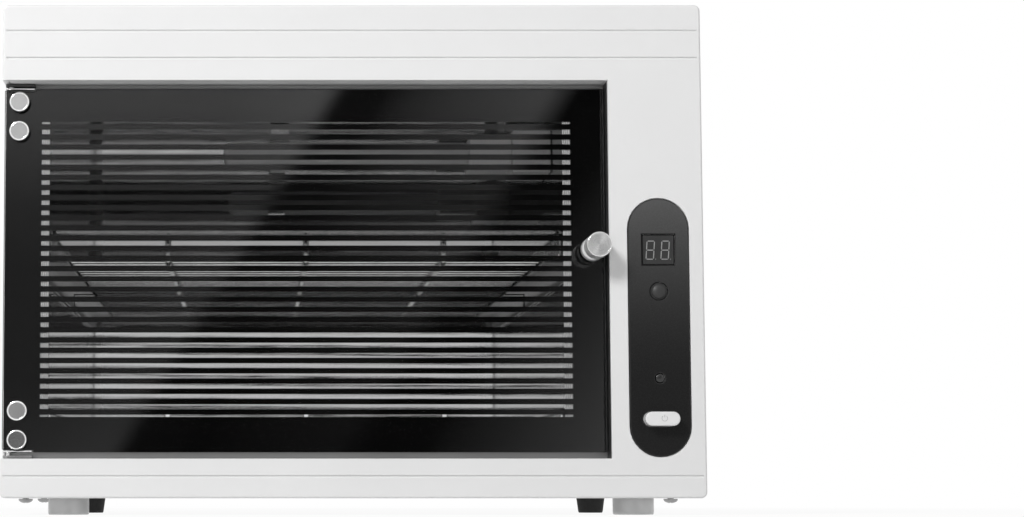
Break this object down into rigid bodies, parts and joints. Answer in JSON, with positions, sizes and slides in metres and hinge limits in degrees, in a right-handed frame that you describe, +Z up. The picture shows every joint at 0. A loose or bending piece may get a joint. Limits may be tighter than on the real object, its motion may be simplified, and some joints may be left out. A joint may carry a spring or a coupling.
{
  "type": "uv sterilizer cabinet",
  "caption": "Bench-top UV sterilizer cabinet: tinted hinged door with a striped window, polished chamber with wire shelves, lamp, and a pill-shaped control panel.",
  "frame": {"origin": "under the middle of the whole object, on the surface it stands on, knob and gland included", "axes": "+Z up, the front with the door faces -Y, +X to the right as seen from the front"},
  "size_m": [0.34, 0.2334, 0.248],
  "materials": {
    "white_paint": "semi-gloss powder coat",
    "white_plastic": "satin moulding",
    "grey_metal": "plain sheet",
    "mirror_steel": "polished sheet",
    "bright_steel": "bright wire and turned steel",
    "black_plastic": "satin",
    "black_print": "screen print",
    "black_rubber": "matt",
    "grey_plastic": "matt moulding",
    "magnet": "sintered",
    "board": "circuit board",
    "tinted_panel": "tinted clear acrylic",
    "lamp_glass": "clear tube"
  },
  "bodies": {
    "cabinet": {"front_fascia": "white_plastic", "outer_cover": "white_paint", "front_frame": "grey_metal", "base_plate": "grey_metal", "rear_cover": "white_paint", "chamber_liner": "mirror_steel", "cord_gland": "black_rubber", "liner_support_left": "grey_metal", "liner_support_right": "grey_metal", "shelf_ledge_left": "mirror_steel", "shelf_ledge_right": "mirror_steel", "front_foot_left": "grey_plastic", "front_foot_right": "grey_plastic", "rear_foot_left": "black_rubber", "rear_foot_right": "black_rubber", "lamp_socket": "white_plastic", "lamp_clip": "bright_steel", "ballast": "grey_metal", "terminal_block": "white_plastic", "lamp_lead": "white_plastic", "switch_lead": "black_rubber", "control_panel": "black_plastic", "control_board": "board", "display_window": "tinted_panel", "display_module": "black_plastic", "set_switch": "grey_plastic", "indicator_lens": "tinted_panel", "power_switch": "black_plastic", "micro_switch": "black_plastic", "door_magnet": "magnet", "magnet_holder": "grey_plastic", "hinge_bracket_top": "grey_metal", "hinge_bracket_bottom": "grey_metal", "hinge_pin_top": "bright_steel", "hinge_pin_bottom": "bright_steel", "base_screw_1": "bright_steel", "base_screw_2": "bright_steel", "base_screw_3": "bright_steel", "base_screw_4": "bright_steel", "rear_screw_1": "bright_steel", "rear_screw_2": "bright_steel", "rear_screw_3": "bright_steel", "rear_screw_4": "bright_steel"},
    "door": {"door_panel": "tinted_panel", "door_print": "black_print", "door_knob": "bright_steel", "knob_screw": "bright_steel", "hinge_plate_top": "bright_steel", "hinge_plate_bottom": "bright_steel", "hinge_screw_1": "bright_steel", "hinge_screw_2": "bright_steel", "hinge_screw_3": "bright_steel", "hinge_screw_4": "bright_steel"},
    "door_switch": {"micro_switch_plunger": "grey_plastic"},
    "set_key": {"set_button": "black_plastic"},
    "power_key": {"power_button": "white_plastic"},
    "upper_rack": {"upper_shelf": "bright_steel"},
    "lower_rack": {"lower_shelf": "bright_steel"},
    "lamp": {"lamp_tube": "lamp_glass", "lamp_base": "white_plastic"}
  },
  "joints": [
    {"name": "door_hinge", "type": "hinge", "parent": "cabinet", "child": "door", "pos_m": [-0.1668, -0.09015, 0.12], "axis": [0, 0, -1], "range_deg": [0, 170]},
    {"name": "plunger_slide", "type": "slide", "parent": "cabinet", "child": "door_switch", "axis": [0, -1, 0], "range_m": [0, 0.0015]},
    {"name": "set_button_press", "type": "slide", "parent": "cabinet", "child": "set_key", "axis": [0, 1, 0], "range_m": [0, 0.0006], "stiffness_N_per_m": 600},
    {"name": "power_button_press", "type": "slide", "parent": "cabinet", "child": "power_key", "axis": [0, 1, 0], "range_m": [0, 0.003], "stiffness_N_per_m": 400},
    {"name": "upper_shelf_lift", "type": "slide", "parent": "cabinet", "child": "upper_rack", "axis": [0, 0, 1], "range_m": [0, 0.012]},
    {"name": "lower_shelf_lift", "type": "slide", "parent": "cabinet", "child": "lower_rack", "axis": [0, 0, 1], "range_m": [0, 0.012]},
    {"name": "lamp_pull", "type": "slide", "parent": "cabinet", "child": "lamp", "axis": [-1, 0, 0], "range_m": [0, 0.022]}
  ],
  "couplings": [
    {"joint": "plunger_slide", "follows": "door_hinge", "m_per_rad": 0.0005}
  ]
}
